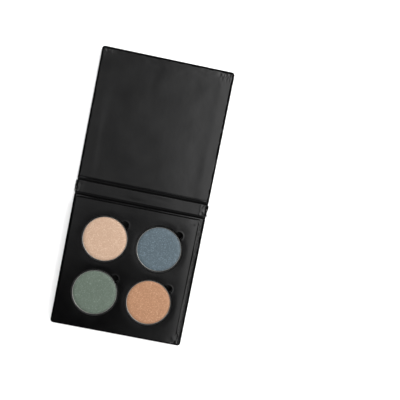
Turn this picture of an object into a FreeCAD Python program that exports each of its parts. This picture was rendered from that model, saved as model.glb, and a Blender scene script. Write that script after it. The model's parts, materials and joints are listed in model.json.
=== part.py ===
"""Magnetic four-pan eyeshadow palette, as a parametric FreeCAD document (millimetres).

A book-style palette: two paper-wrapped board covers and a narrow spine strip, joined by two
creased paper hinges, with a paper-wrapped tray block on the base cover.  Four drawn pans of
pressed powder sit in round wells over disc magnets.  It is modelled open and flat.

Frame: +Z up, +X to the right, +Y from the tray towards the lid.  The origin lies under the
centre of the tray, on the surface that the palette stands on.  Both hinge axes run along X.
"""

import FreeCAD
import Part
import os
import re
import Sketcher

Vector = FreeCAD.Vector
TOLERANCE = 0.01  # how near an edge lies to the place where it is looked for

doc = FreeCAD.newDocument("eyeshadow_palette")

# ---------------------------------------------------------------- dimensions

DRIVING = {
    # paper and board
    "paper": 0.2,  # one sheet of wrapping or lining paper
    "board": 1.2,  # greyboard of the covers and the spine
    "turn_in": 8.5,  # width of the wrap that is folded over on to a cover's inside
    "lining_inset": 1.4,  # from a cover's free edge to the lining's edge
    # covers
    "cover_width": 78.6,  # along the hinge, outside
    "cover_depth": 78.6,  # from the fold axis to the free edge
    "cover_corner": 1.8,
    # hinge
    "fold_gap": 0.9,  # from a fold axis to the board edge on each side of it
    "spine_pitch": 8.5,  # between the two fold axes
    "crease_radius": 0.88,  # outside of the paper that is folded up into the crease
    "crease_ply": 0.4,  # wrap and lining, bonded
    # tray block
    "tray_width": 73.6,
    "tray_depth": 74.6,
    "tray_corner": 1.2,
    "tray_edge": 0.5,  # rounding along the tray's top edges
    "tray_gap": 1.2,  # from the tray's rear face to the fold axis
    "tray_turn_in": 6.0,
    "floor_board": 1.4,
    "core_lower": 2.2,
    "core_upper": 2.3,
    # wells
    "well_pitch": 31.8,  # between well centres, both ways
    "well_radius": 13.5,
    "notch_radius": 1.9,
    "notch_reach": 14.1,  # from the well's centre to the finger notch's centre
    # pans
    "pan_radius": 13.0,
    "pan_height": 4.4,
    "pan_wall": 0.3,
    "pan_bend": 0.9,  # outside rounding between the pan's floor and its wall
    "pan_play": 0.05,  # under the pan
    "powder_inset": 0.25,  # from the pan's rim down to the powder's edge
    "powder_crown": 0.2,
    # magnets
    "pan_magnet_radius": 6.0,
    "pan_magnet_thickness": 1.0,
    "closure_radius": 3.0,
    "tray_magnet_thickness": 2.0,
    "lid_magnet_thickness": 1.0,
    "closure_offset": 27.0,  # closure magnets, left and right of the middle
    "closure_inset": 3.9,  # magnet's centre, in from the tray's front face
}

DERIVED = {
    "cover_height": "3 * paper + board",
    "board_top": "paper + board",
    "lining_base": "2 * paper + board",
    "base_fold": "tray_depth / 2 + tray_gap",
    "lid_fold": "base_fold + spine_pitch",
    "crease_inside": "crease_radius - crease_ply",
    "floor_base": "cover_height + paper",
    "floor_top": "floor_base + floor_board",
    "well_floor": "floor_top + paper",
    "core_joint": "well_floor + core_lower",
    "core_top": "core_joint + core_upper",
    "tray_top": "core_top + paper",
    "core_width": "tray_width - 2 * paper",
    "core_depth": "tray_depth - 2 * paper",
    "well_offset": "well_pitch / 2",
    "notch_near": "well_pitch / 2 - notch_reach / sqrt(2)",
    "notch_far": "well_pitch / 2 + notch_reach / sqrt(2)",
    "pan_base": "well_floor + pan_play",
    "pan_inside": "pan_radius - pan_wall",
    "powder_edge": "pan_height - powder_inset",
    "powder_top": "powder_edge + powder_crown",
    "tray_closure": "tray_depth / 2 - closure_inset",
    "lid_closure": "lid_fold + base_fold + tray_closure",
}

sheet = doc.addObject("Spreadsheet::Sheet", "Dimensions")
for row, (name, value) in enumerate(DRIVING.items(), start=1):
    sheet.set(f"A{row}", name)
    sheet.set(f"B{row}", str(value))
    sheet.setAlias(f"B{row}", name)
for row, (name, formula) in enumerate(DERIVED.items(), start=1):
    sheet.set(f"D{row}", name)
    sheet.set(f"E{row}", f"={formula}")
    sheet.setAlias(f"E{row}", name)
doc.recompute()


def size(name):
    """A dimension's value, read from the spreadsheet."""
    return float(sheet.get(name))


def bound(formula):
    """A formula in the spreadsheet's names, as an expression for other objects."""
    return re.sub(r"[a-z]\w*", lambda word: f"Dimensions.{word.group()}", str(formula))


def bind(obj, **formulas):
    """Bind properties to formulas; x, y and z stand for the object's place."""
    for prop, formula in formulas.items():
        path = f"Placement.Base.{prop}" if prop in ("x", "y", "z") else prop
        obj.setExpression(path, bound(formula))
    return obj


subparts = {}


def keep(node, obj):
    """Register an object as the sub-part of this name."""
    obj.Label = node
    subparts[node] = obj
    return obj


# ---------------------------------------------------------------- Part primitives


def box(name, x, y, z, width, depth, height):
    """A box whose lowest corner is at x, y, z."""
    obj = doc.addObject("Part::Box", name)
    return bind(obj, x=x, y=y, z=z, Length=width, Width=depth, Height=height)


def cylinder(name, x, y, z, radius, height):
    """An upright cylinder that stands on x, y, z."""
    obj = doc.addObject("Part::Cylinder", name)
    return bind(obj, x=x, y=y, z=z, Radius=radius, Height=height)


def cut(name, base, tool):
    """The base with the tool taken away."""
    obj = doc.addObject("Part::Cut", name)
    obj.Base = base
    obj.Tool = tool
    return obj


def fuse(name, shapes):
    """Several shapes joined into one."""
    obj = doc.addObject("Part::MultiFuse", name)
    obj.Shapes = shapes
    return obj


# ---------------------------------------------------------------- PartDesign bodies


def round_edges(body, base, name, radius, chosen):
    """Fillet the edges of a body's present shape that the function chosen picks."""
    doc.recompute()
    numbered = enumerate(body.Shape.Edges, start=1)
    names = [f"Edge{number}" for number, edge in numbered if chosen(edge)]
    fillet = body.newObject("PartDesign::Fillet", name)
    fillet.Base = (base, names)
    return bind(fillet, Radius=radius)


def slab(name, width, near, far, base, height, corner, free_side=0, top_edge=None):
    """A flat block centred on X, from y = near to y = far, standing on z = base.

    The upright edges are rounded: all four, or the two on the free side (-1 or +1 in Y) of
    a hinged panel.  top_edge also rounds the rim of the top face.
    """
    body = doc.addObject("PartDesign::Body", name)
    block = body.newObject("PartDesign::AdditiveBox", f"{name}_block")
    bind(block, x=f"-({width}) / 2", y=near, Length=width, Width=f"({far}) - ({near})", Height=height)
    doc.recompute()
    bounds = body.Shape.BoundBox

    def upright(edge):
        on_free_side = (edge.CenterOfMass.y - bounds.Center.y) * free_side > 0
        ends = [vertex.Point.z for vertex in edge.Vertexes]
        return abs(ends[0] - ends[1]) > bounds.ZLength / 2 and (free_side == 0 or on_free_side)

    def on_top(edge):
        return edge.BoundBox.ZMin > bounds.ZMax - TOLERANCE

    last = round_edges(body, block, f"{name}_corners", corner, upright)
    if top_edge:
        round_edges(body, last, f"{name}_rim", top_edge, on_top)
    return bind(body, z=base)


def sketch_on(body, name, role):
    """A sketch on one of the body's own origin planes."""
    plane = next(f for f in body.Origin.OriginFeatures if f.Role == role)
    sketch = body.newObject("Sketcher::SketchObject", name)
    sketch.AttachmentSupport = [(plane, "")]
    sketch.MapMode = "FlatFace"
    return sketch


def dimension(sketch, kind, name, cell, *places):
    """Add a sketch dimension and bind it to a spreadsheet cell."""
    number = sketch.addConstraint(Sketcher.Constraint(kind, *places, size(cell)))
    sketch.renameConstraint(number, name)
    sketch.setExpression(f"Constraints.{name}", bound(cell))


def locate(sketch, kind, name, cell, sign, element, point):
    """Place a sketch point at a cell's distance from the origin, on the side given by sign."""
    origin, target = (-1, 1), (element, point)
    first, second = (origin, target) if sign > 0 else (target, origin)
    dimension(sketch, kind, name, cell, *first, *second)


def holes(body, name, radius, centres, top, depth=None):
    """Round pockets down from height top, or right through where no depth is given.

    centres holds (x cell, sign of x, y cell, sign of y) for each hole.
    """
    doc.recompute()
    before = body.Shape.Volume
    sketch = sketch_on(body, f"{name}_circles", "XY_Plane")
    sketch.setExpression("AttachmentOffset.Base.z", bound(top))
    for number, (x_cell, x_sign, y_cell, y_sign) in enumerate(centres):
        centre = Vector(x_sign * size(x_cell), y_sign * size(y_cell), 0)
        sketch.addGeometry(Part.Circle(centre, Vector(0, 0, 1), size(radius)), False)
        dimension(sketch, "Radius", f"radius{number}", radius, number)
        locate(sketch, "DistanceX", f"across{number}", x_cell, x_sign, number, 3)
        locate(sketch, "DistanceY", f"along{number}", y_cell, y_sign, number, 3)
    pocket = body.newObject("PartDesign::Pocket", name)
    pocket.Profile = sketch
    if depth:
        bind(pocket, Length=depth)
    else:
        pocket.Type = "ThroughAll"
    doc.recompute()
    assert body.Shape.Volume < before, f"{name} cut nothing"


def turned(name, outline, roundings=()):
    """A body of revolution about Z.

    outline lists its half-profile's corners as (radius cell, height cell), None for zero; a
    third item "arc" joins that corner to the next by an arc centred on the axis.  roundings
    lists (radius formula, edge radius cell, edge height cell or None).
    """
    body = doc.addObject("PartDesign::Body", name)
    sketch = sketch_on(body, f"{name}_profile", "XZ_Plane")
    places = [
        Vector(size(across) if across else 0, size(up) if up else 0, 0)
        for across, up, *_ in outline
    ]
    count = len(outline)
    for number, corner in enumerate(outline):
        start, end = places[number], places[(number + 1) % count]
        if len(corner) == 3:
            rise, reach = end.y - start.y, start.x
            radius = (reach**2 + rise**2) / (2 * rise)
            middle = Vector(reach / 2, end.y - radius + (radius**2 - reach**2 / 4) ** 0.5, 0)
            sketch.addGeometry(Part.Arc(start, middle, end), False)
        else:
            sketch.addGeometry(Part.LineSegment(start, end), False)
    for number in range(count):
        sketch.addConstraint(Sketcher.Constraint("Coincident", number, 2, (number + 1) % count, 1))
    for number, (across, up, *arc) in enumerate(outline):
        if across:
            dimension(sketch, "DistanceX", f"across{number}", across, -1, 1, number, 1)
        else:
            sketch.addConstraint(Sketcher.Constraint("PointOnObject", number, 1, -2))
        if up:
            dimension(sketch, "DistanceY", f"up{number}", up, -1, 1, number, 1)
        else:
            sketch.addConstraint(Sketcher.Constraint("PointOnObject", number, 1, -1))
        if arc:
            sketch.addConstraint(Sketcher.Constraint("PointOnObject", number, 3, -2))
    last = body.newObject("PartDesign::Revolution", f"{name}_turning")
    last.Profile = sketch
    last.ReferenceAxis = (sketch, ["V_Axis"])
    last.Angle = 360
    for number, (rounding, edge_radius, edge_height) in enumerate(roundings):
        radius = size(edge_radius)
        height = size(edge_height) if edge_height else 0

        def chosen(edge):
            bounds = edge.BoundBox
            level = abs(bounds.ZMax - height) < TOLERANCE and bounds.ZLength < TOLERANCE
            return level and abs(bounds.XMax - radius) < TOLERANCE

        last = round_edges(body, last, f"{name}_rounding{number}", rounding, chosen)
    return body


# ---------------------------------------------------------------- covers and spine

# Each panel's near and far edge in Y, and the side of its free edge (0: hinged on both).
PANELS = {
    "base": ("base_fold - cover_depth", "base_fold - fold_gap", -1),
    "spine": ("base_fold + fold_gap", "lid_fold - fold_gap", 0),
    "lid": ("lid_fold + fold_gap", "lid_fold + cover_depth", 1),
}


def inset(panel, amount):
    """A panel's near and far edge with its free edge moved in by an amount."""
    near, far, side = PANELS[panel]
    return f"{near} + {amount}" if side < 0 else near, f"{far} - {amount}" if side > 0 else far


def window(panel, name):
    """The space between the turn-ins, above the board."""
    near, far = inset(panel, "turn_in")
    width = "cover_width - 2 * turn_in"
    return box(name, f"-({width}) / 2", near, "board_top", width, f"({far}) - ({near})", "paper")


def board_slab(panel, name):
    """A panel's greyboard, a paper's thickness inside the panel's outline."""
    near, far = inset(panel, "paper")
    side = PANELS[panel][2]
    width = "cover_width - 2 * paper"
    corner = "cover_corner - paper" if side else "paper"
    return slab(name, width, near, far, "paper", "board", corner, side)


def wrap(panel):
    """Outer paper: under the board, round its outer edges and turned in over the top."""
    near, far, side = PANELS[panel]
    corner = "cover_corner" if side else "paper"
    outside = slab(f"{panel}_outside", "cover_width", near, far, "0", "lining_base", corner, side)
    hollow = [board_slab(panel, f"{panel}_board_space"), window(panel, f"{panel}_wrap_window")]
    return cut(f"{panel}_wrap", outside, fuse(f"{panel}_wrap_hollow", hollow))


def lining(panel):
    """Inner paper: over the turn-ins, and sunk between them on to the board."""
    near, far = inset(panel, "lining_inset")
    width = "cover_width - 2 * lining_inset"
    depth = f"({far}) - ({near})"
    cover = box(f"{panel}_lining_sheet", f"-({width}) / 2", near, "lining_base", width, depth, "paper")
    return fuse(f"{panel}_lining", [cover, window(panel, f"{panel}_lining_dip")])


def crease(name, fold):
    """Wrap and lining bonded together and folded up into the gap between two boards."""
    start = "paper - cover_width / 2"
    length = "cover_width - 2 * paper"
    shells = []
    for part, radius in (("outside", "crease_radius"), ("inside", "crease_inside")):
        pipe = cylinder(f"{name}_{part}", start, fold, "0", radius, length)
        pipe.Placement.Rotation = FreeCAD.Rotation(Vector(1, 1, 1), 120)  # its axis along X
        pipe.Angle = 180
        shells.append(pipe)
    return cut(name, *shells)


for panel in PANELS:
    keep(f"{panel}_board", board_slab(panel, f"{panel}_board"))
    keep(f"{panel}_wrap", wrap(panel))
    keep(f"{panel}_lining", lining(panel))
keep("base_joint_paper", crease("base_joint_paper", "base_fold"))
keep("lid_joint_paper", crease("lid_joint_paper", "lid_fold"))

# ---------------------------------------------------------------- tray block

# The four wells: name, and the signs of their centre's x and y.
WELLS = {
    "front_left": (-1, -1),
    "front_right": (1, -1),
    "rear_left": (-1, 1),
    "rear_right": (1, 1),
}
NOTCH_CELL = {-1: "notch_near", 1: "notch_far"}
WELL_CENTRES = [("well_offset", x, "well_offset", y) for x, y in WELLS.values()]
NOTCH_CENTRES = [(NOTCH_CELL[x], x, NOTCH_CELL[y], y) for x, y in WELLS.values()]


def tray_layer(name, base, height, top_edge=None):
    """One board layer of the tray block, as large as the block inside its wrap."""
    corner = "tray_corner - paper"
    return slab(
        name, "core_width", "-core_depth / 2", "core_depth / 2", base, height, corner, 0, top_edge
    )


def die_cut(body, top):
    """Cut the four wells and their finger notches through a layer."""
    holes(body, f"{body.Name}_wells", "well_radius", WELL_CENTRES, top)
    holes(body, f"{body.Name}_notches", "notch_radius", NOTCH_CENTRES, top)


def centred_sheet(name, base, width, depth):
    """A sheet of paper's thickness, centred under the tray."""
    return box(name, f"-({width}) / 2", f"-({depth}) / 2", base, width, depth, "paper")


floor = keep("tray_floor", tray_layer("tray_floor", "floor_base", "floor_board"))
holes(
    floor, "magnet_recesses", "pan_magnet_radius", WELL_CENTRES, "floor_board", "pan_magnet_thickness"
)

keep("tray_floor_paper", tray_layer("tray_floor_paper", "floor_top", "paper"))

lower_core = keep("tray_core_lower", tray_layer("tray_core_lower", "well_floor", "core_lower"))
die_cut(lower_core, "core_lower")

upper_core = tray_layer("tray_core_upper", "core_joint", "core_upper", "tray_edge - paper")
keep("tray_core_upper", upper_core)
die_cut(upper_core, "core_upper")
TRAY_CLOSURE = [("closure_offset", side, "tray_closure", -1) for side in (-1, 1)]
holes(
    upper_core, "closure_recesses", "closure_radius", TRAY_CLOSURE, "core_upper", "tray_magnet_thickness"
)

glued_width, glued_depth = (f"tray_{side} - 2 * tray_turn_in" for side in ("width", "depth"))
keep("tray_adhesive", centred_sheet("tray_adhesive", "cover_height", glued_width, glued_depth))

wrap_outside = slab(
    "tray_wrap_outside",
    "tray_width",
    "-tray_depth / 2",
    "tray_depth / 2",
    "cover_height",
    "tray_top - cover_height",
    "tray_corner",
    0,
    "tray_edge",
)
die_cut(wrap_outside, "tray_top - cover_height")
block_space = tray_layer("tray_block_space", "floor_base", "core_top - floor_base", "tray_edge - paper")
glue_space = centred_sheet("tray_glue_space", "cover_height", glued_width, glued_depth)
wrap_hollow = fuse("tray_wrap_hollow", [block_space, glue_space])
keep("tray_wrap", cut("tray_wrap", wrap_outside, wrap_hollow))

# ---------------------------------------------------------------- pans, powders and magnets

PAN_OUTLINE = [
    (None, None),
    ("pan_radius", None),
    ("pan_radius", "pan_height"),
    ("pan_inside", "pan_height"),
    ("pan_inside", "pan_wall"),
    (None, "pan_wall"),
]
POWDER_OUTLINE = [
    (None, "pan_wall"),
    ("pan_inside", "pan_wall"),
    ("pan_inside", "powder_edge", "arc"),
    (None, "powder_top"),
]

for well, (x_sign, y_sign) in WELLS.items():
    x, y = f"{x_sign} * well_offset", f"{y_sign} * well_offset"
    inner_bend = "pan_bend - pan_wall"
    bends = [("pan_bend", "pan_radius", None), (inner_bend, "pan_inside", "pan_wall")]
    pan = keep(f"pan_{well}", turned(f"pan_{well}", PAN_OUTLINE, bends))
    powder = keep(f"powder_{well}", turned(f"powder_{well}", POWDER_OUTLINE, bends[1:]))
    for body in (pan, powder):
        bind(body, x=x, y=y, z="pan_base")
    magnet_base = "floor_top - pan_magnet_thickness"
    magnet = cylinder(f"pan_magnet_{well}", x, y, magnet_base, "pan_magnet_radius", "pan_magnet_thickness")
    keep(magnet.Name, magnet)

LID_CLOSURE = [("closure_offset", side, "lid_closure", 1) for side in (-1, 1)]
lid_board = subparts["lid_board"]
holes(
    lid_board, "lid_magnet_recesses", "closure_radius", LID_CLOSURE, "board", "lid_magnet_thickness"
)
for side_name, side in (("left", -1), ("right", 1)):
    x = f"{side} * closure_offset"
    for part, y, top in (("tray", "-tray_closure", "core_top"), ("lid", "lid_closure", "board_top")):
        thickness = f"{part}_magnet_thickness"
        magnet = cylinder(
            f"{part}_magnet_{side_name}", x, y, f"{top} - {thickness}", "closure_radius", thickness
        )
        keep(magnet.Name, magnet)

# ---------------------------------------------------------------- check and write

doc.recompute()
for obj in doc.Objects:
    if "Invalid" in obj.State or "Error" in obj.State:
        raise RuntimeError(f"{obj.Name} is {obj.State}")
os.makedirs("parts", exist_ok=True)
for node, obj in subparts.items():
    shape = obj.Shape
    if shape.isNull() or not shape.isValid() or len(shape.Solids) != 1:
        raise RuntimeError(f"{node} is not one valid solid")
for node, obj in subparts.items():
    obj.Shape.exportStep(f"parts/{node}.step")
print(f"{len(subparts)} sub-parts written")
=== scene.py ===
"""The looks of the magnetic four-pan eyeshadow palette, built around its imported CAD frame.

Everything is in metres, in the frame of the CAD model: +Z up, +Y from the tray to the lid.
"""

import json
import math

import bpy
import numpy as np
from mathutils import Matrix, Vector, geometry, noise


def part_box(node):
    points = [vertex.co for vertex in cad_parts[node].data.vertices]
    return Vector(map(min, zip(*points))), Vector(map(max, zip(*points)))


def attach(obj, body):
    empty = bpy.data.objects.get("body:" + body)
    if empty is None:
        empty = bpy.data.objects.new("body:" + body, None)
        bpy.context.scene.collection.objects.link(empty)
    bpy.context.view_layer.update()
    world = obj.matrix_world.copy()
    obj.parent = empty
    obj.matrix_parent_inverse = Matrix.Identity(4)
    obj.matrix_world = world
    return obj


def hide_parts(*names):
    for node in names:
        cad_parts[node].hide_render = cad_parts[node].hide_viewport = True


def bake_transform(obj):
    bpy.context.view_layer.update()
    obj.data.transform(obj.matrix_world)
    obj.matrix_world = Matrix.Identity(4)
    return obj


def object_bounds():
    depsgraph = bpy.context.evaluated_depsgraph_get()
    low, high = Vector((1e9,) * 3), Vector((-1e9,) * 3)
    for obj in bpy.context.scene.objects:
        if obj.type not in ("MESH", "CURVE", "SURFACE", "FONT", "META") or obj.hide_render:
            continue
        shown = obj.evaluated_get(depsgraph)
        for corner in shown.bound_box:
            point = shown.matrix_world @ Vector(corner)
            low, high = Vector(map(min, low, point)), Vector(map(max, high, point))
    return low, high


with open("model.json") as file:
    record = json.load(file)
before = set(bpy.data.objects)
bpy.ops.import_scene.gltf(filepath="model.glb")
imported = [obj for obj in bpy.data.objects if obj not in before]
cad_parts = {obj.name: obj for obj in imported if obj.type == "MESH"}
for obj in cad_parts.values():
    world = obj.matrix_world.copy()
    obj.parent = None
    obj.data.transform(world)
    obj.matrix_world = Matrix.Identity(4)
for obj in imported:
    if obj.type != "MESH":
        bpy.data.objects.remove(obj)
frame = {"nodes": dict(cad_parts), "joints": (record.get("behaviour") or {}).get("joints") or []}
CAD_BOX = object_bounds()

MM = 0.001

# ------------------------------------------------------------------ sizes read from the frame

BASE_LOW, BASE_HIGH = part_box("base_wrap")
SPINE_LOW, SPINE_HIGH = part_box("spine_wrap")
LID_LOW, LID_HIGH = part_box("lid_wrap")
TRAY_LOW, TRAY_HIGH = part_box("tray_wrap")
LINING_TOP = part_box("lid_lining")[1].z
LINING_INSET = LID_HIGH.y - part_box("lid_lining")[1].y
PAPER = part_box("base_board")[0].z - BASE_LOW.z
JOINTS = {j["name"]: j for j in frame["joints"]}
FOLD_GAP = SPINE_LOW.y - JOINTS["base_crease"]["pos_m"][1]  # from a fold to a panel's edge
WELLS = ("front_left", "front_right", "rear_left", "rear_right")
CENTRES = [(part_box(f"pan_{w}")[0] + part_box(f"pan_{w}")[1]) / 2 for w in WELLS]

# ------------------------------------------------------------------ sizes of the details

TURN_IN = 8.5 * MM  # width of the wrap that is folded over on to a cover's inside
COVER_CORNER = 1.8 * MM
COVER_EDGE = 0.42 * MM  # rounding of the wrap over a board's edge
TRAY_CORNER = 1.2 * MM
TRAY_EDGE = 0.5 * MM
TRAY_TURN_IN = 6.0 * MM
WELL_RADIUS = 13.5 * MM
NOTCH_RADIUS = 1.9 * MM
NOTCH_REACH = 14.1 * MM  # from a well's centre to its finger notch's centre
NOTCH_ANGLE = math.radians(45)
WRAP_THICKNESS = PAPER * 0.9
SHEET_THICKNESS = PAPER * 0.8
SHEET_DROP = 0.02 * MM  # from the CAD paper's face down to the modelled lining
ROUNDING_ANGLES = [math.radians(a) for a in (0, 18, 36, 54, 72, 90)]

# ------------------------------------------------------------------ small helpers


def smooth_step(value):
    """0 below 0, 1 above 1, and smooth between them."""
    t = min(1.0, max(0.0, value))
    return t * t * (3 - 2 * t)


def ripple(x, y, wavelength, seed=0.0):
    """Smooth noise from -1 to 1 with features about one wavelength apart."""
    return noise.noise(Vector((x / wavelength, y / wavelength, seed)))


def ridge(x, y, wavelength, seed=0.0):
    """Noise from 0 to 1 with sharp crests, like creased paper."""
    return 1 - 2 * abs(ripple(x, y, wavelength, seed))


def fade(distance, width):
    """1 at no distance, falling smoothly to almost 0 at twice the width."""
    return math.exp(-((distance / width) ** 2))


def spaced(start, stop, step):
    """Values from start to stop, both included, about one step apart."""
    count = max(1, round((stop - start) / step))
    return list(np.linspace(start, stop, count + 1))


def make_mesh(name, verts, faces, material):
    """A new object from vertices and faces, shaded smooth."""
    mesh = bpy.data.meshes.new(name)
    mesh.from_pydata([tuple(v) for v in verts], [], faces)
    mesh.validate()
    mesh.update()
    mesh.shade_smooth()
    mesh.materials.append(material)
    obj = bpy.data.objects.new(name, mesh)
    bpy.context.scene.collection.objects.link(obj)
    return obj


def thicken(obj, thickness):
    """Give a paper surface its thickness, inwards from its outer face."""
    modifier = obj.modifiers.new("thickness", "SOLIDIFY")
    modifier.thickness = thickness
    modifier.offset = -1
    return obj


def place(obj, body, slot, *nodes):
    """Let a piece ride on a body and stand for its CAD nodes."""
    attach(obj, body)
    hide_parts(*nodes)
    return obj


# ------------------------------------------------------------------ node materials

WORN_COLOR = (0.03, 0.03, 0.031)


class Material:
    """A Principled material with a few procedural layers, in object coordinates."""

    def __init__(self, name, color, roughness, metallic=0.0):
        self.material = bpy.data.materials.new(name)
        self.material.use_nodes = True
        self.nodes = self.material.node_tree.nodes
        self.links = self.material.node_tree.links
        self.shader = self.nodes["Principled BSDF"]
        self.shader.inputs["Base Color"].default_value = (*color, 1)
        self.shader.inputs["Roughness"].default_value = roughness
        self.shader.inputs["Metallic"].default_value = metallic
        self.coordinates = self.nodes.new("ShaderNodeTexCoord").outputs["Object"]

    def set(self, **values):
        """Set sockets of the shader; underscores in a name stand for spaces."""
        for name, value in values.items():
            self.shader.inputs[name.replace("_", " ")].default_value = value
        return self

    def noise(self, size, detail=3.0, stretch=(1, 1, 1), rough=0.5):
        """Fractal noise, 0 to 1, with features of about the given size in metres."""
        scaled = self.nodes.new("ShaderNodeMapping")
        scaled.inputs["Scale"].default_value = [s / size for s in stretch]
        self.links.new(self.coordinates, scaled.inputs["Vector"])
        texture = self.nodes.new("ShaderNodeTexNoise")
        texture.inputs["Scale"].default_value = 1.0
        texture.inputs["Detail"].default_value = detail
        texture.inputs["Roughness"].default_value = rough
        self.links.new(scaled.outputs[0], texture.inputs["Vector"])
        return texture.outputs["Fac"]

    def cells(self, size):
        """Two random numbers, 0 to 1, for each Voronoi cell of about the given size."""
        texture = self.nodes.new("ShaderNodeTexVoronoi")
        texture.inputs["Scale"].default_value = 1 / size
        self.links.new(self.coordinates, texture.inputs["Vector"])
        split = self.nodes.new("ShaderNodeSeparateColor")
        self.links.new(texture.outputs["Color"], split.inputs[0])
        return split.outputs[0], split.outputs[1]

    def remap(self, value, low, high, out_low=0.0, out_high=1.0):
        """Linear ramp from low..high to out_low..out_high, clamped."""
        node = self.nodes.new("ShaderNodeMapRange")
        limits = {"From Min": low, "From Max": high, "To Min": out_low, "To Max": out_high}
        for name, number in limits.items():
            node.inputs[name].default_value = number
        self.links.new(value, node.inputs["Value"])
        return node.outputs["Result"]

    def blend(self, factor, first, second):
        """Mix two colours, each a tuple or an output, by a factor output."""
        node = self.nodes.new("ShaderNodeMix")
        node.data_type = "RGBA"
        self.links.new(factor, node.inputs["Factor"])
        for socket, color in ((node.inputs[6], first), (node.inputs[7], second)):
            if isinstance(color, tuple):
                socket.default_value = (*color, 1)
            else:
                self.links.new(color, socket)
        return node.outputs[2]

    def multiply(self, first, second):
        """The product of two outputs."""
        node = self.nodes.new("ShaderNodeMath")
        node.operation = "MULTIPLY"
        self.links.new(first, node.inputs[0])
        self.links.new(second, node.inputs[1])
        return node.outputs[0]

    def attribute(self, name):
        """The number that the mesh stores under a name."""
        node = self.nodes.new("ShaderNodeAttribute")
        node.attribute_name = name
        return node.outputs["Fac"]

    def color(self, output):
        """Let an output drive the base colour."""
        self.links.new(output, self.shader.inputs["Base Color"])
        return self

    def roughness(self, output):
        """Let an output drive the roughness."""
        self.links.new(output, self.shader.inputs["Roughness"])
        return self

    def bump(self, output, height, strength=1.0):
        """Stack a bump of the given height in metres on the shader's normal."""
        node = self.nodes.new("ShaderNodeBump")
        node.inputs["Distance"].default_value = height
        node.inputs["Strength"].default_value = strength
        self.links.new(output, node.inputs["Height"])
        normal = self.shader.inputs["Normal"]
        if normal.is_linked:
            self.links.new(normal.links[0].from_socket, node.inputs["Normal"])
        self.links.new(node.outputs["Normal"], normal)
        return self


def paper_material(name, dark, light, rough_low, rough_high, specular=0.5):
    """Black coated paper: cloudy sheen, fine fibre, and paler worn edges."""
    made = Material(name, dark, rough_high)
    made.set(Specular_IOR_Level=specular)
    clouds = made.noise(14 * MM, 4)
    fibre = made.noise(0.45 * MM, 2, stretch=(1, 0.35, 1))
    scuffs = made.remap(made.noise(1.1 * MM, 3), 0.5, 0.72)
    worn = made.multiply(made.attribute("wear"), scuffs)
    body = made.blend(clouds, dark, light)
    made.color(made.blend(worn, body, WORN_COLOR))
    made.roughness(made.remap(clouds, 0.3, 0.7, rough_low, rough_high))
    made.bump(made.noise(9 * MM, 2), 0.05 * MM)
    made.bump(fibre, 0.006 * MM)
    return made.material


def board_material(name, dark, light):
    """Pressed board: speckled fibre in layers."""
    made = Material(name, dark, 0.85)
    layers = made.noise(0.5 * MM, 4, stretch=(0.3, 0.3, 1.6))
    made.color(made.blend(made.remap(layers, 0.35, 0.65), dark, light))
    made.bump(layers, 0.03 * MM)
    return made.material


def metal_material(name, color, roughness, grain):
    """Bright plated sheet with faint drawing marks."""
    made = Material(name, color, roughness, 1.0)
    marks = made.noise(grain, 3, stretch=(1, 1, 0.15))
    made.roughness(made.remap(marks, 0.3, 0.7, roughness * 0.75, roughness * 1.3))
    tarnish = made.noise(3 * MM, 3)
    darker = tuple(0.8 * c for c in color)
    made.color(made.blend(made.remap(tarnish, 0.4, 0.75), color, darker))
    made.bump(marks, 0.004 * MM)
    return made.material


def powder_material(name, dark, light, glint):
    """Pressed shimmer powder: fine grain, soft blotches and scattered pearl flakes, paler than the
    powder with their glint painted in.
    """
    made = Material(name, dark, 0.55, metallic=0.15)
    grain = made.noise(0.55 * MM, 5, rough=0.65)
    blotch = made.noise(5 * MM, 3)
    body = made.blend(made.remap(grain, 0.4, 0.6), dark, light)
    shade = tuple(0.94 * c for c in dark)
    body = made.blend(made.remap(blotch, 0.35, 0.75, 0.0, 0.5), body, shade)
    # Pearl flakes: pale, glossier specks whose glint is painted into the colour.
    shine, tilt = made.cells(0.32 * MM)
    made.color(made.blend(made.remap(shine, 0.86, 0.92), body, glint))
    made.roughness(made.remap(shine, 0.8, 0.95, 0.6, 0.32))
    made.bump(tilt, 0.012 * MM)
    made.bump(grain, 0.03 * MM)
    return made.material


def grey(level):
    """A neutral colour, a trace bluer than grey."""
    return (level, level, level + 0.0001)


WRAP = paper_material("wrap_paper", grey(0.0006), grey(0.0014), 0.15, 0.21)
LINING = paper_material("lining_paper", grey(0.0014), grey(0.0026), 0.17, 0.24)
FLOOR_PAPER = paper_material("well_floor_paper", (0.006,) * 3, (0.012,) * 3, 0.75, 0.85, 0.15)
CREASED = paper_material("creased_paper", (0.0008,) * 3, (0.0015,) * 3, 0.6, 0.7, 0.07)
# A paper with no sheen at all, for bands along edges and round the wells: it paints their shade as dark
# lines.
EDGE_SHADE_PAPER = paper_material("painted_edge_shade", (0.001,) * 3, (0.0025,) * 3, 0.45, 0.6, 0.0)
GREYBOARD = board_material("greyboard", (0.2, 0.19, 0.175), (0.36, 0.34, 0.31))
BLACK_BOARD = board_material("black_core_board", (0.004, 0.004, 0.004), (0.012, 0.012, 0.012))
TINPLATE = metal_material("tinplate", (0.27, 0.265, 0.255), 0.36, 0.4 * MM)
# A darker, duller copy of the tinplate for the outside of a pan's wall: painted shade in the gap round
# the pan.
TIN_PAINTED_SHADE = metal_material("tin_painted_shade", (0.06, 0.06, 0.058), 0.6, 0.4 * MM)
NICKEL = metal_material("nickel_plating", (0.66, 0.64, 0.6), 0.22, 0.3 * MM)
ADHESIVE = board_material("adhesive_sheet", (0.62, 0.6, 0.52), (0.72, 0.7, 0.63))
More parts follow.
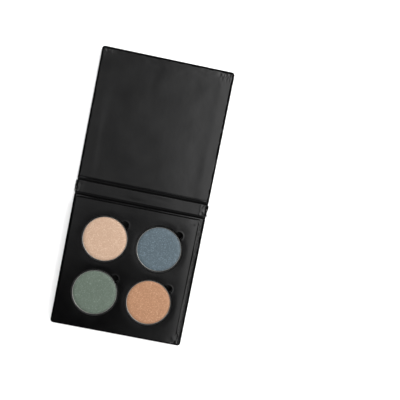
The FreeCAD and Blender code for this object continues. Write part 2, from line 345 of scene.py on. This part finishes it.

# Each powder's dark and light colours, and the paler colour of its pearl flakes with their glint
# painted in.
POWDER_LOOKS = {
    "rear_left": ((0.301, 0.196, 0.131), (0.357, 0.241, 0.169), (0.447, 0.327, 0.241)),
    "rear_right": ((0.034, 0.053, 0.066), (0.054, 0.078, 0.093), (0.1, 0.135, 0.162)),
    "front_left": ((0.05, 0.07, 0.052), (0.071, 0.094, 0.074), (0.115, 0.148, 0.119)),
    "front_right": ((0.224, 0.108, 0.052), (0.288, 0.148, 0.079), (0.37, 0.212, 0.128)),
}
POWDERS = {
    well: powder_material(f"powder_{well}", *look) for well, look in POWDER_LOOKS.items()
}

# ------------------------------------------------------------------ paper-wrapped panels


def grid_lines(low, high, free_low, free_high, breaks):
    """Coordinates of a panel's grid lines: close together near its free, wrapped edges."""
    close, wide, band = 0.32 * MM, 1.3 * MM, 7.5 * MM
    merge = 0.02 * MM  # lines nearer than this become one
    rounding = [COVER_EDGE * (1 - math.cos(a)) for a in ROUNDING_ANGLES]
    start, stop = low, high
    lines = {low, high}
    if free_low:
        lines.update(low + r for r in rounding)
        lines.update(spaced(low + COVER_EDGE, low + band, close))
        start = low + band
    if free_high:
        lines.update(high - r for r in rounding)
        lines.update(spaced(high - band, high - COVER_EDGE, close))
        stop = high - band
    lines.update(spaced(start, stop, wide if stop - start > band else close))
    lines.update(breaks)
    kept = []
    for value in sorted(lines):
        if kept and value - kept[-1] < merge:
            if value in breaks:
                kept[-1] = value
            continue
        kept.append(value)
    return kept


class Panel:
    """A flat cover panel in plan: its box, its free edges and its rounded free corners."""

    def __init__(self, low, high, free_side):
        self.low, self.high, self.free_side = low, high, free_side
        self.end = high.y if free_side > 0 else low.y  # Y of its free end

    def corner_radius(self, y):
        """The corner radius at the end of the panel nearest to y."""
        side = 1 if y > (self.low.y + self.high.y) / 2 else -1
        return COVER_CORNER if side == self.free_side else 0.0

    def rounded(self, x, y):
        """Move a point of the square grid to its place in the round-cornered panel."""
        radius = self.corner_radius(y)
        if not radius:
            return x, y
        side_x = math.copysign(1, x)
        across = (abs(x) - (self.high.x - radius)) / radius
        along = ((y - self.end) * self.free_side + radius) / radius
        if across <= 0 or along <= 0:
            return x, y
        new_across = across * math.sqrt(1 - along * along / 2)
        new_along = along * math.sqrt(1 - across * across / 2)
        return (
            side_x * (self.high.x - radius + radius * new_across),
            self.end + self.free_side * (radius * new_along - radius),
        )

    def edge_distance(self, x, y):
        """Distance from a point inside the outline to the nearest free edge."""
        distance = self.high.x - abs(x)
        if not self.free_side:
            return distance
        to_end = (self.end - y) * self.free_side
        radius = COVER_CORNER
        if distance < radius and to_end < radius:
            return radius - math.hypot(radius - distance, radius - to_end)
        return min(distance, to_end)

    def corner_distance(self, x, y):
        """Distance from a point to the panel's nearest free corner."""
        if not self.free_side:
            return self.high.x - abs(x)
        return math.hypot(self.high.x - abs(x), self.end - y)


def rounding_drop(distance, radius):
    """How far a rounded edge has fallen at a distance in from the outline."""
    inside = radius - min(max(distance, 0.0), radius)
    return radius - math.sqrt(radius * radius - inside * inside)


def add_wear(obj, value_at):
    """Store how worn each vertex is, 0 to 1, for the paper material."""
    layer = obj.data.attributes.new("wear", "FLOAT", "POINT")
    layer.data.foreach_set("value", [value_at(v.co) for v in obj.data.vertices])
    return obj


def paint_edge_shade(obj, on_edge):
    """Give the chosen faces along an edge a matte paper with no sheen: the edge's shade, painted as a
    dark line.
    """
    obj.data.materials.append(EDGE_SHADE_PAPER)
    for face in obj.data.polygons:
        if on_edge(face.center):
            face.material_index = 1


def cover_height(panel, seed, x, y, top):
    """The height of a cover paper's outer face, on top of the panel or under it."""
    distance = panel.edge_distance(x, y)
    drop = rounding_drop(distance, COVER_EDGE)
    crumpled = 2.2 * MM if panel.free_side else 1.6 * MM
    near = fade(panel.corner_distance(x, y), crumpled)
    pleat = (ridge(x, y, 1.3 * MM, seed) - 0.5) * 0.24 * MM * near
    if not top:
        return panel.low.z + drop + max(0.0, pleat) * 0.3
    wave = ripple(x, y, 9 * MM, seed + 4) * 0.02 * MM
    return panel.high.z - drop + min(0.12 * MM, pleat) + wave * smooth_step(distance / MM)


def spine_bulge(panel, seed, x, y):
    """How far the crumpled paper bulges out past an end of the spine."""
    bulge = (0.1 + 0.45 * ridge(x, y, 2.4 * MM, seed + 8)) * MM
    return max(0.0, bulge * fade(panel.high.x - abs(x), 1.5 * MM))


def free_borders(panel, columns, rows):
    """The grid's open edges along a panel's free sides, each a run of (column, row)."""
    last_column, last_row = columns - 1, rows - 1
    right_side = [(last_column, row) for row in range(rows)]
    left_side = [(0, row) for row in range(last_row, -1, -1)]
    if panel.free_side > 0:
        far_side = [(column, last_row) for column in range(columns - 2, 0, -1)]
        return [right_side + far_side + left_side]
    if panel.free_side < 0:
        near_side = [(column, 0) for column in range(1, last_column)]
        return [left_side + near_side + right_side]
    return [right_side, left_side]


def add_wall(verts, faces, bottom, top, steps=4):
    """Join two rows of vertices by faces, with evenly spaced rows between them."""
    previous = bottom
    for step in range(1, steps + 1):
        current = top
        if step < steps:
            current = []
            for lower, upper in zip(bottom, top):
                current.append(len(verts))
                verts.append(Vector(verts[lower]).lerp(Vector(verts[upper]), step / steps))
        for a in range(len(bottom) - 1):
            faces.append([previous[a], previous[a + 1], current[a + 1], current[a]])
        previous = current


def cover_wrap(name, panel, seed):
    """The outer paper of a panel: under it, round its free edges and turned in on top."""
    window_x = panel.high.x - TURN_IN
    window_y = panel.end - panel.free_side * TURN_IN
    breaks = [window_y] if panel.free_side else []
    xs = grid_lines(panel.low.x, panel.high.x, True, True, [-window_x, window_x])
    ys = grid_lines(panel.low.y, panel.high.y, panel.free_side < 0, panel.free_side > 0, breaks)
    columns, rows = len(xs), len(ys)
    verts, faces = [], []
    for top in (False, True):
        for y in ys:
            for x in xs:
                place_x, place_y = panel.rounded(x, y)
                if not panel.free_side:
                    place_x += math.copysign(spine_bulge(panel, seed, x, y), x)
                verts.append((place_x, place_y, cover_height(panel, seed, place_x, place_y, top)))

    def index(column, row, top):
        return (columns * rows if top else 0) + row * columns + column

    for row in range(rows - 1):
        middle_y = (ys[row] + ys[row + 1]) / 2
        past_turn_in = panel.free_side == 0 or (window_y - middle_y) * panel.free_side > 0
        for column in range(columns - 1):
            around = ((0, 0), (0, 1), (1, 1), (1, 0))
            faces.append([index(column + a, row + b, False) for a, b in around])
            middle_x = (xs[column] + xs[column + 1]) / 2
            in_window = past_turn_in and abs(middle_x) < window_x
            if not in_window:
                faces.append([index(column + b, row + a, True) for a, b in around])
    for border in free_borders(panel, columns, rows):
        bottom = [index(column, row, False) for column, row in border]
        add_wall(verts, faces, bottom, [index(column, row, True) for column, row in border])
    obj = make_mesh(name, verts, faces, WRAP)

    def worn(co):
        edge = 1 - smooth_step(panel.edge_distance(co.x, co.y) / (0.7 * MM))
        return 0.1 * edge + 0.7 * fade(panel.corner_distance(co.x, co.y), 3 * MM)

    # The rounding along the free edges, where the edge's shade is painted as a dark band.
    def in_painted_edge_shade(co):
        width = (1.25 + 0.3 * ripple(co.x, co.y, 3 * MM)) * MM
        return co.z > panel.high.z - COVER_EDGE and panel.edge_distance(co.x, co.y) < width

    add_wear(obj, worn)
    paint_edge_shade(obj, in_painted_edge_shade)
    return thicken(obj, WRAP_THICKNESS)


def lining_height(panel, seed, x, y, dents, creases):
    """The height of a lining's face: sunk between the turn-ins, waved, dented and pleated."""
    distance = panel.edge_distance(x, y) + 0.5 * MM * ripple(x, y, 20 * MM, seed + 9)
    ramp = (5.5 + 3 * ripple(x, y, 28 * MM, seed + 3)) * MM
    wave = 0.05 * MM * ripple(x, y, 19 * MM, seed)
    wave += 0.018 * MM * ripple(x, y, 7 * MM, seed + 2)
    sink = 0.0
    near_corner = fade(panel.high.x - abs(x), 2.5 * MM)
    if panel.free_side:
        to_end = abs(panel.end - y)
        sink = (0.11 + 0.09 * ripple(x, y, 22 * MM, seed + 6)) * MM
        sink *= 1.0 - 0.55 * smooth_step(x / (15 * MM))
        crinkle = ridge(x * 0.5, y, 3.4 * MM, seed + 7) - 0.6
        wave += 0.09 * MM * crinkle * fade(to_end, 6 * MM)
        near_corner = fade(panel.high.x - abs(x), 8 * MM) * fade(to_end, 4 * MM)
    for place_x, width, height in creases:
        wave += height * fade(x - place_x, width)
    for place_x, place_y, radius_x, radius_y, depth in dents:
        wave -= depth * fade(math.hypot((x - place_x) / radius_x, (y - place_y) / radius_y), 1)
    dip = sink * smooth_step((distance - TURN_IN + ramp / 2) / ramp)
    pleat = 0.34 * MM * (ridge(x * 1.6, y, 2.3 * MM, seed + 5) - 0.5) * near_corner
    return LINING_TOP - SHEET_DROP - dip + min(0.05 * MM, wave) + min(0.12 * MM, pleat)


def lining_sheet(name, panel, seed, dents=(), creases=()):
    """The inner paper: laid over the turn-ins, and sunk a little between them."""
    inset_low = LINING_INSET if panel.free_side < 0 else 0
    inset_high = LINING_INSET if panel.free_side > 0 else 0
    half = panel.high.x - LINING_INSET
    near, far = panel.low.y + inset_low, panel.high.y - inset_high
    xs = grid_lines(-half, half, True, True, [])
    ys = grid_lines(near, far, panel.free_side < 0, panel.free_side > 0, [])
    verts = [(x, y, lining_height(panel, seed, x, y, dents, creases)) for y in ys for x in xs]
    columns = len(xs)
    faces = []
    for row in range(len(ys) - 1):
        for column in range(columns - 1):
            corner = row * columns + column
            faces.append([corner, corner + 1, corner + columns + 1, corner + columns])
    obj = make_mesh(name, verts, faces, LINING)
    add_wear(obj, lambda co: 0.5 * fade(panel.corner_distance(co.x, co.y), 3 * MM))
    return thicken(obj, SHEET_THICKNESS)


# ------------------------------------------------------------------ folded creases


def crease_paper(name, joint, seed, centre, spread):
    """The bonded papers folded into a hinge gap: a groove on the inside, an arch outside."""
    axis_y = JOINTS[joint]["pos_m"][1]
    groove, arch = 1.0 * MM, 0.45 * MM
    half = BASE_HIGH.x - 0.15 * MM
    steps = 36
    xs = spaced(-half, half, 0.5 * MM)
    verts, faces = [], []
    for x in xs:
        end = fade(half - abs(x), 2.0 * MM)
        sway = 0.05 * MM * ripple(x, seed, 4 * MM, seed)
        ring = []
        for step in range(steps + 1):
            share = step / steps * 2 - 1
            fold = 1 - min(1.0, abs((share - centre) / spread)) ** 3.5
            crumple = 0.25 * MM * (ridge(x, share * MM, 1.1 * MM, seed) - 0.6) * end
            lift = LINING_TOP - SHEET_DROP + (crumple - groove) * fold
            ring.append((x, axis_y + share * FOLD_GAP + sway * fold, lift))
        for step in range(steps, -1, -1):
            share = step / steps * 2 - 1
            fold = math.cos(share * math.pi / 2) ** 1.7
            ring.append((x, axis_y + share * FOLD_GAP, arch * fold))
        verts.extend(ring)
    count = 2 * (steps + 1)
    for column in range(len(xs) - 1):
        for step in range(count):
            a, b = column * count + step, column * count + (step + 1) % count
            faces.append([a, a + count, b + count, b])
    faces.append(list(range(count)))
    last = (len(xs) - 1) * count
    faces.append(list(range(last + count - 1, last - 1, -1)))
    obj = make_mesh(name, verts, faces, CREASED)
    add_wear(obj, lambda co: 0.6 * fade(half - abs(co.x), 1.5 * MM))
    return obj


def hang_crease(obj, node):
    """Fix a crease's paper in place where it lies open, and let it stand for its CAD node."""
    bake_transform(obj)
    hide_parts(node)


# ------------------------------------------------------------------ tray block


def well_outline(centre, offset):
    """Points round a well and its finger notch, offset outwards, anticlockwise."""
    radius, notch = WELL_RADIUS + offset, NOTCH_RADIUS + offset
    reach = NOTCH_REACH
    meet = math.acos((radius**2 + reach**2 - notch**2) / (2 * radius * reach))
    join = Vector((radius * math.cos(meet), radius * math.sin(meet)))
    sweep = math.atan2(join.y, join.x - reach)  # the notch's arc ends at this angle
    points = []
    for angle in np.linspace(-sweep, sweep, 25)[:-1]:
        points.append((reach + notch * math.cos(angle), notch * math.sin(angle)))
    for angle in np.linspace(meet, 2 * math.pi - meet, 121)[:-1]:
        points.append((radius * math.cos(angle), radius * math.sin(angle)))
    turn, tilt = math.cos(NOTCH_ANGLE), math.sin(NOTCH_ANGLE)
    return [(centre.x + x * turn - y * tilt, centre.y + x * tilt + y * turn) for x, y in points]


def notch_distance(x, y, centre):
    """Distance from a point to the edge of a well's finger notch; negative inside."""
    notch_x = centre.x + NOTCH_REACH * math.cos(NOTCH_ANGLE)
    notch_y = centre.y + NOTCH_REACH * math.sin(NOTCH_ANGLE)
    return math.hypot(x - notch_x, y - notch_y) - NOTCH_RADIUS


def well_distance(x, y, centre):
    """Distance from a point to the edge of a well and its notch; negative inside."""
    to_well = math.hypot(x - centre.x, y - centre.y) - WELL_RADIUS
    return min(to_well, notch_distance(x, y, centre))


def well_gap(x, y):
    """Distance from a point to the nearest well; negative inside one."""
    return min(well_distance(x, y, centre) for centre in CENTRES)


def tray_outline(inset):
    """Points round the tray block, inset from its outside, anticlockwise."""
    half_x, half_y = TRAY_HIGH.x - inset, TRAY_HIGH.y - inset
    radius = max(0.15 * MM, TRAY_CORNER - inset)
    points = []
    for quarter, (side_x, side_y) in enumerate(((1, -1), (1, 1), (-1, 1), (-1, -1))):
        centre_x, centre_y = side_x * (half_x - radius), side_y * (half_y - radius)
        for angle in np.linspace(-90, 0, 9):
            turn = math.radians(angle + 90 * quarter)
            points.append((centre_x + radius * math.cos(turn), centre_y + radius * math.sin(turn)))
        next_x, next_y = ((1, 1), (-1, 1), (-1, -1), (1, -1))[quarter]
        stop_x, stop_y = next_x * (half_x - radius), next_y * (half_y - radius)
        begin = Vector(points[-1])
        finish = Vector((stop_x, stop_y)) + radius * Vector(
            (math.cos(math.radians(90 * quarter)), math.sin(math.radians(90 * quarter)))
        )
        for share in np.linspace(0, 1, 61)[1:-1]:
            points.append(tuple(begin.lerp(finish, share)))
    return points


def tray_inset(x, y):
    """Distance in from the tray block's outline."""
    to_x, to_y = TRAY_HIGH.x - abs(x), TRAY_HIGH.y - abs(y)
    if to_x < TRAY_CORNER and to_y < TRAY_CORNER:
        return TRAY_CORNER - math.hypot(TRAY_CORNER - to_x, TRAY_CORNER - to_y)
    return min(to_x, to_y)


def tray_plan():
    """The tray's top sheet in plan: its points, its faces and how many points its edge has."""
    points, edges = [], []

    def add_loop(loop):
        first = len(points)
        points.extend(loop)
        edges.extend((first + i, first + (i + 1) % len(loop)) for i in range(len(loop)))

    insets = [TRAY_EDGE * (1 - math.cos(a)) for a in ROUNDING_ANGLES]
    for inset in insets + [0.9 * MM, 1.6 * MM, 2.6 * MM, 3.8 * MM]:
        add_loop(tray_outline(inset))
    for centre in CENTRES:
        for offset in (0, 0.08, 0.2, 0.4, 0.65, 1.0, 1.6):
            add_loop(well_outline(centre, offset * MM))
        for offset in (2.4, 3.4):
            ring = WELL_RADIUS + offset * MM
            angles = np.linspace(0, 2 * math.pi, 91)[:-1]
            circle = [(centre.x + ring * math.cos(a), centre.y + ring * math.sin(a)) for a in angles]
            points.extend(p for p in circle if well_distance(*p, centre) > 1.7 * MM)
    step = 1.5 * MM
    inner_x, inner_y = TRAY_HIGH.x - 5 * MM, TRAY_HIGH.y - 5 * MM
    for row, y in enumerate(spaced(-inner_y, inner_y, step)):
        for x in spaced(-inner_x, inner_x, step):
            x += step / 2 * (row % 2)
            if abs(x) < inner_x and well_gap(x, y) > 4.2 * MM:
                points.append((x, y))
    flat, _, faces, *_ = geometry.delaunay_2d_cdt([Vector(p) for p in points], edges, [], 1, 1e-9)

    def is_paper(face):
        middle = sum((flat[i] for i in face), Vector((0, 0))) / len(face)
        return well_gap(middle.x, middle.y) > 0

    return flat, [list(face) for face in faces if is_paper(face)], len(tray_outline(0))


def tray_height(x, y):
    """The height of the tray's top sheet: sagging at the wells, crowned and pleated."""
    inset = tray_inset(x, y)
    gap = well_gap(x, y)
    lip = 0.09 * MM * (1 - smooth_step(gap / (0.4 * MM)))
    sag = 0.07 * MM * (1 - smooth_step(gap / (3.4 * MM)))
    right_edge = smooth_step((x - TRAY_HIGH.x + 7 * MM) / (4 * MM))
    crown = (0.04 + 0.11 * right_edge) * MM * (1 - smooth_step(inset / (5 * MM)))
    wave = 0.02 * MM * ripple(x, y, 12 * MM, 7.3)
    for centre in CENTRES:
        wave += 0.07 * MM * fade(notch_distance(x, y, centre) - 0.4 * MM, 0.4 * MM)
    off_corner = math.hypot(TRAY_HIGH.x - abs(x), TRAY_HIGH.y - abs(y))
    strength = 0.16 * MM if x > 0 > y else 0.03 * MM
    pleat = strength * (ridge(x, y * 0.4, 1.6 * MM, 4.4) - 0.5) * fade(off_corner, 5 * MM)
    wave = min(0.05 * MM + sag + crown, wave + pleat)
    return TRAY_HIGH.z - 0.07 * MM - lip - sag - crown + wave - rounding_drop(inset, TRAY_EDGE)


def add_tray_sides(verts, faces, edge_count):
    """Fold the sheet down the tray's sides and turn it in underneath."""
    wall_top, wall_low = TRAY_HIGH.z - TRAY_EDGE, TRAY_LOW.z + 0.25 * MM
    levels = [(wall_top - share * (wall_top - wall_low), 0.0) for share in np.linspace(0.3, 1, 9)]
    levels += [(TRAY_LOW.z + 0.07 * MM, 0.07 * MM), (TRAY_LOW.z, 0.25 * MM), (TRAY_LOW.z, TRAY_TURN_IN)]
    previous = range(edge_count)
    for z, inset in levels:
        current = []
        for x, y in tray_outline(inset):
            to_side = min(abs(TRAY_HIGH.x - abs(x)), 8 * MM)
            flap_end = 5.5 * MM + (z - TRAY_LOW.z) * 0.25
            on_end = abs(y) > TRAY_HIGH.y - 0.05 * MM and to_side > 0.6 * MM and not inset
            flap = 0.07 * MM * smooth_step((flap_end - to_side) / (0.3 * MM)) if on_end else 0.0
            current.append(len(verts))
            verts.append((x, y + math.copysign(flap, y), z))
        for a in range(edge_count):
            b = (a + 1) % edge_count
            faces.append([previous[b], previous[a], current[a], current[b]])
        previous = current


def tray_paper(name):
    """The tray's top sheet with its die-cut wells, folded down the sides and turned under."""
    flat, faces, edge_count = tray_plan()
    verts = [(p.x, p.y, tray_height(p.x, p.y)) for p in flat]
    add_tray_sides(verts, faces, edge_count)
    obj = make_mesh(name, verts, faces, WRAP)

    def worn(co):
        edge = 1 - smooth_step(tray_inset(co.x, co.y) / (0.8 * MM))
        return 0.1 * edge + 0.1 * (1 - smooth_step(well_gap(co.x, co.y) / (0.3 * MM)))

    # The ring round each well and the band along the top edges, widest on the right, where shade is
    # painted as dark bands.
    def in_painted_edge_shade(co):
        on_top = co.z > TRAY_HIGH.z - TRAY_EDGE
        width = (1.5 if TRAY_HIGH.x - co.x < 1.5 * MM else 0.6) * MM
        return well_gap(co.x, co.y) < 0.5 * MM or (on_top and tray_inset(co.x, co.y) < width)

    add_wear(obj, worn)
    paint_edge_shade(obj, in_painted_edge_shade)
    return thicken(obj, SHEET_THICKNESS)


# ------------------------------------------------------------------ pans and powders


def turned(name, profile, centre, material, segments=144):
    """A body of revolution about a pan's axis from (radius, height) points."""
    verts, faces = [], []
    count = len(profile)
    for segment in range(segments):
        angle = 2 * math.pi * segment / segments
        for radius, height in profile:
            x, y = radius * math.cos(angle), radius * math.sin(angle)
            verts.append((centre.x + x, centre.y + y, height))
    for segment in range(segments):
        following = (segment + 1) % segments
        for number in range(count - 1):
            a, b = segment * count + number, following * count + number
            faces.append([a, b, b + 1, a + 1])
    obj = make_mesh(name, verts, faces, material)
    modifier = obj.modifiers.new("poles", "WELD")
    modifier.merge_threshold = 0.002 * MM
    return obj


def arc(centre_radius, centre_height, radius, start, stop, steps):
    """Points of a profile's arc, its angles in degrees from the outward direction."""
    points = []
    for angle in np.linspace(start, stop, steps):
        turn = math.radians(angle)
        out, up = radius * math.cos(turn), radius * math.sin(turn)
        points.append((centre_radius + out, centre_height + up))
    return points


def pan_shell(well):
    """A drawn tinplate pan with a rolled rim and a stepped floor."""
    low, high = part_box(f"pan_{well}")
    centre = (low + high) / 2
    outside = (high.x - low.x) / 2
    wall, bend, rim = 0.3 * MM, 0.9 * MM, 0.15 * MM
    floor_ring, ring_depth = 8.5 * MM, 0.12 * MM
    profile = [(0, low.z + ring_depth), (floor_ring - 0.3 * MM, low.z + ring_depth)]
    profile += [(floor_ring, low.z + 0.02 * MM), (floor_ring + 0.2 * MM, low.z)]
    profile += arc(outside - bend, low.z + bend, bend, -90, 0, 9)
    profile += arc(outside - rim, high.z - rim, rim, 0, 180, 13)
    inside = outside - wall
    inner_bend = bend - wall
    profile += arc(inside - inner_bend, low.z + wall + inner_bend, inner_bend, 0, -90, 6)
    profile.append((0, low.z + wall))
    obj = turned(f"pan_shell_{well}", profile, centre, TINPLATE)
    # The faces on the wall's outside take the copy with painted shade.
    obj.data.materials.append(TIN_PAINTED_SHADE)  # for the outside of the wall
    for face in obj.data.polygons:
        if math.hypot(face.center.x - centre.x, face.center.y - centre.y) > outside - 0.1 * MM:
            face.material_index = 1
    return place(obj, f"refill_{well}", "tinplate", f"pan_{well}")


def powder_cake(well, seed):
    """Pressed powder with a bevelled edge, a slight crown and a pressed grain."""
    low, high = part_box(f"powder_{well}")
    centre = (low + high) / 2
    outside = (high.x - low.x) / 2 - 0.01 * MM
    crown, bevel, bevel_width = 0.08 * MM, 0.32 * MM, 1.8 * MM
    floor_height, floor_bend = low.z + 0.05 * MM, 0.6 * MM
    shoulder = outside - bevel_width
    edge_height = high.z - crown - bevel
    profile = [(r, high.z - crown * (r / shoulder) ** 2) for r in spaced(0, shoulder, 0.35 * MM)]
    for share in (0.15, 0.35, 0.6, 0.8, 0.93, 1.0):
        profile.append((shoulder + bevel_width * share, high.z - crown - bevel * share**1.25))
    profile.append((outside, edge_height - 0.1 * MM))
    profile.append((outside, low.z + 0.7 * MM))
    profile.append((outside - floor_bend, floor_height))
    profile.append((0, floor_height))
    obj = turned(f"powder_cake_{well}", profile[::-1], centre, POWDERS[well], 180)
    for vertex in obj.data.vertices:
        x, y = vertex.co.x - centre.x, vertex.co.y - centre.y
        radius = math.hypot(x, y)
        if vertex.co.z > edge_height - 0.05 * MM and radius > 0.2 * MM:
            press = 0.012 * MM * ripple(x, y, 0.8 * MM, seed)
            press += 0.02 * MM * ripple(x, y, 4.5 * MM, seed)
            vertex.co.z += press * smooth_step((outside - radius) / (0.3 * MM))
    return place(obj, f"refill_{well}", f"powder_{well}", f"powder_{well}")


# ------------------------------------------------------------------ build the palette

PANELS = {
    "base": Panel(BASE_LOW, BASE_HIGH, -1),
    "spine": Panel(SPINE_LOW, SPINE_HIGH, 0),
    "lid": Panel(LID_LOW, LID_HIGH, 1),
}
# Soft dents: centre in X and Y, half-width in X and Y, and depth.
DENTS = {
    "base": (),
    "spine": (
        (-0.003, 0.0405, 6 * MM, 1.5 * MM, 0.07 * MM),
        (0.012, 0.044, 5 * MM, 1.2 * MM, 0.04 * MM),
    ),
    "lid": (
        (-0.030, 0.078, 4 * MM, 8 * MM, 0.1 * MM),
        (-0.024, 0.100, 5 * MM, 10 * MM, 0.07 * MM),
        (-0.006, 0.113, 3 * MM, 9 * MM, 0.06 * MM),
        (0.016, 0.112, 8 * MM, 5 * MM, 0.06 * MM),
        (0.026, 0.070, 6 * MM, 14 * MM, 0.05 * MM),
    ),
}
# Folds across the spine's lining: their X, half-width and height.
SPINE_FOLDS = ((0.0352, 0.35 * MM, 0.06 * MM), (-0.0345, 0.6 * MM, 0.05 * MM))
for number, (panel_name, panel) in enumerate(PANELS.items()):
    seed = 11.3 * (number + 1)
    folds = SPINE_FOLDS if panel_name == "spine" else ()
    cover = cover_wrap(f"{panel_name}_cover_paper", panel, seed)
    place(cover, panel_name, "wrap_paper", f"{panel_name}_wrap")
    inner = lining_sheet(f"{panel_name}_lining_paper", panel, seed, DENTS[panel_name], folds)
    place(inner, panel_name, "lining_paper", f"{panel_name}_lining")

base_fold = crease_paper("base_crease_paper", "base_crease", 3.1, -0.5, 0.5)
hang_crease(base_fold, "base_joint_paper")
lid_fold = crease_paper("lid_crease_paper", "lid_crease", 5.7, -0.4, 0.6)
hang_crease(lid_fold, "lid_joint_paper")

place(tray_paper("tray_top_paper"), "base", "wrap_paper", "tray_wrap")
for number, well in enumerate(WELLS):
    pan_shell(well)
    powder_cake(well, 2.9 * number)

KEPT_NODES = {
    "base_board": GREYBOARD,
    "spine_board": GREYBOARD,
    "lid_board": GREYBOARD,
    "tray_floor": GREYBOARD,
    "tray_core_lower": BLACK_BOARD,
    "tray_core_upper": BLACK_BOARD,
    "tray_floor_paper": FLOOR_PAPER,
    "tray_adhesive": ADHESIVE,
    "tray_magnet_left": NICKEL,
    "tray_magnet_right": NICKEL,
    "lid_magnet_left": NICKEL,
    "lid_magnet_right": NICKEL,
    **{f"pan_magnet_{well}": NICKEL for well in WELLS},
}
for node, material in KEPT_NODES.items():
    mesh = frame["nodes"][node].data
    mesh.materials.clear()
    mesh.materials.append(material)

# ------------------------------------------------------------------ studio and camera

FLOOR_HALF = 2.0
FLOOR_HEIGHT = -0.05 * MM
floor_material = Material("studio_floor", (0.87, 0.87, 0.87), 0.9)
floor_material.bump(floor_material.noise(6 * MM, 2), 0.02 * MM)
floor_corners = [
    (side_x * FLOOR_HALF, side_y * FLOOR_HALF, FLOOR_HEIGHT)
    for side_x, side_y in ((-1, -1), (1, -1), (1, 1), (-1, 1))
]
floor = make_mesh("studio_floor", floor_corners, [(0, 1, 2, 3)], floor_material.material)

MIDDLE = Vector((0, (CAD_BOX[0].y + CAD_BOX[1].y) / 2, 0))


def softbox(name, place_at, width, depth, power):
    """A rectangular area light that faces the middle of the palette."""
    data = bpy.data.lights.new(name, "AREA")
    data.shape = "RECTANGLE"
    data.size, data.size_y = width, depth
    data.energy = power
    lamp = bpy.data.objects.new(name, data)
    lamp.location = place_at
    lamp.visible_camera = False
    lamp.rotation_euler = (MIDDLE - Vector(place_at)).to_track_quat("-Z", "Y").to_euler()
    bpy.context.scene.collection.objects.link(lamp)


softbox("key_softbox", (0.85, 0.40, 0.60), 0.9, 0.9, 10.0)
softbox("left_fill", (-0.95, 0.05, 0.45), 0.9, 0.6, 4.6)

world = bpy.data.worlds.new("studio")
world.use_nodes = True
bpy.context.scene.world = world
world_nodes, world_links = world.node_tree.nodes, world.node_tree.links
axes = world_nodes.new("ShaderNodeSeparateXYZ")
world_links.new(world_nodes.new("ShaderNodeTexCoord").outputs["Generated"], axes.inputs[0])


def sky_ramp(axis, start, stop, low, high):
    """A smooth change of the studio's brightness along one axis of the direction."""
    node = world_nodes.new("ShaderNodeMapRange")
    node.interpolation_type = "SMOOTHSTEP"
    for socket, value in (("From Min", start), ("From Max", stop), ("To Min", low), ("To Max", high)):
        node.inputs[socket].default_value = value
    world_links.new(axes.outputs[axis], node.inputs["Value"])
    return node.outputs["Result"]


def sky_math(operation, first, second):
    """Two outputs of the studio's brightness, added or multiplied."""
    node = world_nodes.new("ShaderNodeMath")
    node.operation = operation
    world_links.new(first, node.inputs[0])
    world_links.new(second, node.inputs[1])
    return node.outputs[0]


# Soft glows of the studio's walls and ceiling: each the product of smooth changes, given as
# an axis of the direction, where the change starts and ends, and the brightness there.
SKY_GLOWS = {
    "horizon": [("Z", 0.35, 0.6, 1.0, 0.0)],
    "right_side": [("X", -0.02, 0.1, 0.0, 1.3), ("Y", -0.32, -0.08, 0.0, 1.0)],
    "front_right": [("X", 0.01, 0.07, 0.0, 1.1), ("Y", -0.4, -0.16, 1.0, 0.0)],
    "far_right": [("X", 0.1, 0.25, 0.0, 0.8)],
    "rear_sheen": [("X", -0.16, 0.06, 0.02, 0.5), ("Y", -0.16, 0.04, 0.0, 1.0)],
    "rear_side": [("Y", -0.28, -0.02, 0.0, 0.3)],
    "left_side": [("X", -0.45, -0.2, 0.35, 0.0), ("Y", -0.4, 0.0, 0.1, 1.0)],
    "left_glow": [
        ("X", -0.24, -0.13, 0.4, 0.0),
        ("Y", -0.2, -0.08, 0.0, 1.0),
        ("Y", -0.08, 0.0, 1.0, 0.0),
    ],
}
glow = None
for ramps in SKY_GLOWS.values():
    part = sky_ramp(*ramps[0])
    for ramp in ramps[1:]:
        part = sky_math("MULTIPLY", part, sky_ramp(*ramp))
    glow = sky_math("ADD", glow, part) if glow else part
world_links.new(glow, world_nodes["Background"].inputs["Strength"])
world_nodes["Background"].inputs["Color"].default_value = (1, 1, 1, 1)

bpy.context.scene.view_settings.view_transform = "Standard"

camera_data = bpy.data.cameras.new("camera")
camera_data.sensor_width = 36
camera_data.lens = 45
camera_data.clip_start = 0.01
camera = bpy.data.objects.new("camera", camera_data)
bpy.context.scene.collection.objects.link(camera)
CAMERA_PLACE = Vector((0.02177, 0.06173, 0.29718))
CAMERA_AIM = Vector((0.03393, 0.04843, 0))
CAMERA_HEADING = math.radians(11.43)  # of the image's up direction, anticlockwise from +Y
forward = (CAMERA_AIM - CAMERA_PLACE).normalized()
image_up = Vector((-math.sin(CAMERA_HEADING), math.cos(CAMERA_HEADING), 0))
right = forward.cross(image_up).normalized()
camera_axes = Matrix((right, right.cross(forward), -forward)).transposed()
camera.matrix_world = Matrix.Translation(CAMERA_PLACE) @ camera_axes.to_4x4()
bpy.context.scene.camera = camera
